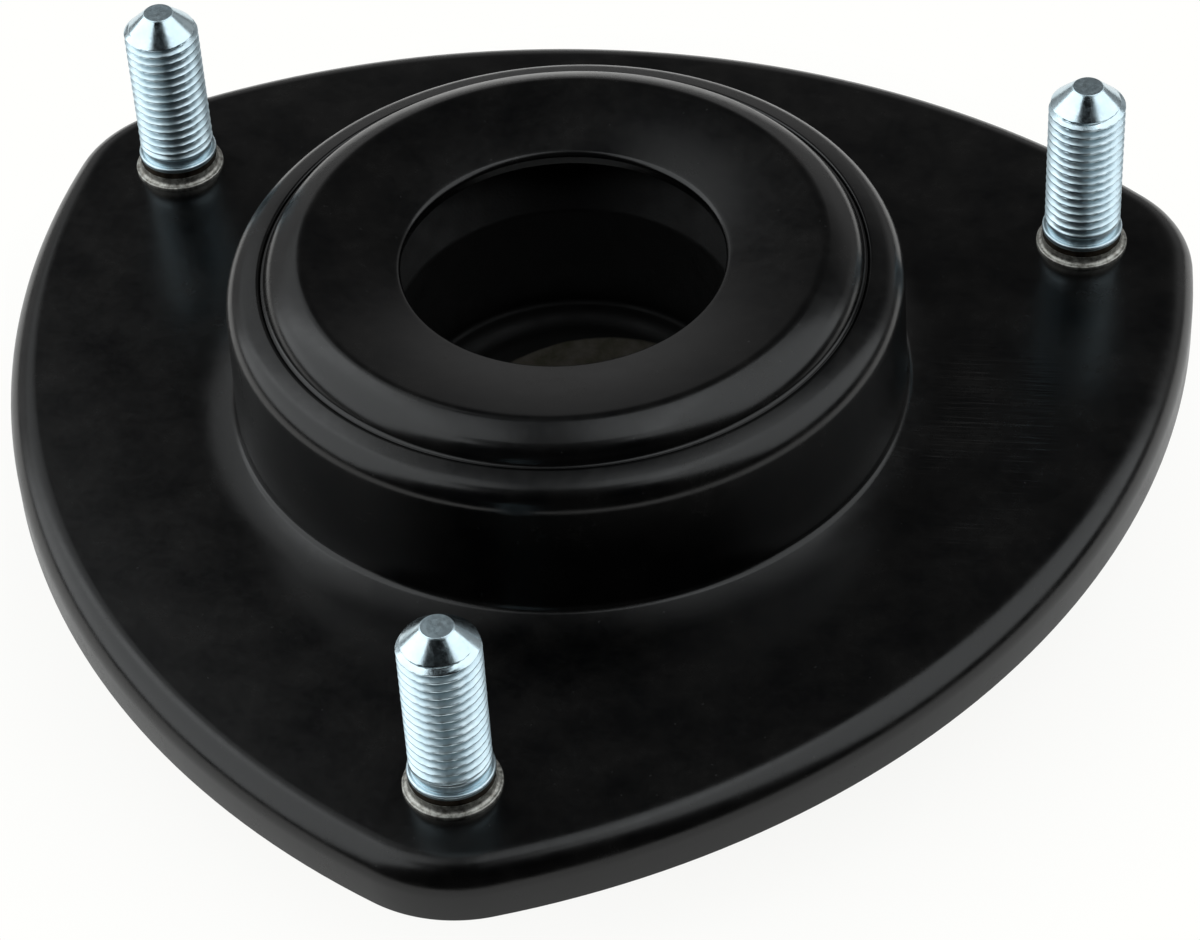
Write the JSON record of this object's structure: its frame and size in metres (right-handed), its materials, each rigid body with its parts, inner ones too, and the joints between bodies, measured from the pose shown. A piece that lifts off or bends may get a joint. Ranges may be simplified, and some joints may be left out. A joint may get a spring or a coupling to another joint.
{
  "type": "strut bearing",
  "caption": "Upper strut mount with a three-sided black pressed plate, threaded studs at its corners, a rubber-held domed centre with a through opening, and a ball bearing below.",
  "frame": {"origin": "on the strut's axis, in the plane of the mounting plate's flat top face, which seats under the strut tower", "axes": "+Z along the strut's axis, the way the studs point; one stud stands towards -Y, the other two at 30 and 150 degrees from +X"},
  "size_m": [0.1532, 0.1556, 0.0454],
  "materials": {
    "black_coat": "smooth black coat with a soft gloss, over pressed steel",
    "zinc_plate": "bright bluish zinc plating on cold-formed steel",
    "oiled_steel": "plain pressed steel, lightly oiled",
    "bearing_steel": "bright ground and polished bearing steel",
    "black_rubber": "matt black moulded rubber",
    "cage_plastic": "pale moulded plastic"
  },
  "bodies": {
    "mount": {"mounting_plate": "black_coat", "dome_cap": "black_coat", "stud_1": "zinc_plate", "stud_2": "zinc_plate", "stud_3": "zinc_plate", "outer_sleeve": "oiled_steel", "isolator": "black_rubber", "core": "black_coat", "upper_race": "bearing_steel", "inner_seal": "black_rubber", "outer_seal": "black_rubber"},
    "ball_set": {"ball_cage": "cage_plastic", "ball_01": "bearing_steel", "ball_02": "bearing_steel", "ball_03": "bearing_steel", "ball_04": "bearing_steel", "ball_05": "bearing_steel", "ball_06": "bearing_steel", "ball_07": "bearing_steel", "ball_08": "bearing_steel", "ball_09": "bearing_steel", "ball_10": "bearing_steel", "ball_11": "bearing_steel", "ball_12": "bearing_steel", "ball_13": "bearing_steel", "ball_14": "bearing_steel", "ball_15": "bearing_steel", "ball_16": "bearing_steel", "ball_17": "bearing_steel", "ball_18": "bearing_steel"},
    "turning_race": {"lower_race": "bearing_steel"}
  },
  "joints": [
    {"name": "race_turn", "type": "hinge", "parent": "mount", "child": "turning_race", "pos_m": [0, 0, -0.01398], "axis": [0, 0, 1], "continuous": true},
    {"name": "cage_turn", "type": "hinge", "parent": "mount", "child": "ball_set", "pos_m": [0, 0, -0.01398], "axis": [0, 0, 1], "continuous": true}
  ],
  "couplings": [
    {"joint": "cage_turn", "follows": "race_turn", "ratio": 0.5}
  ]
}
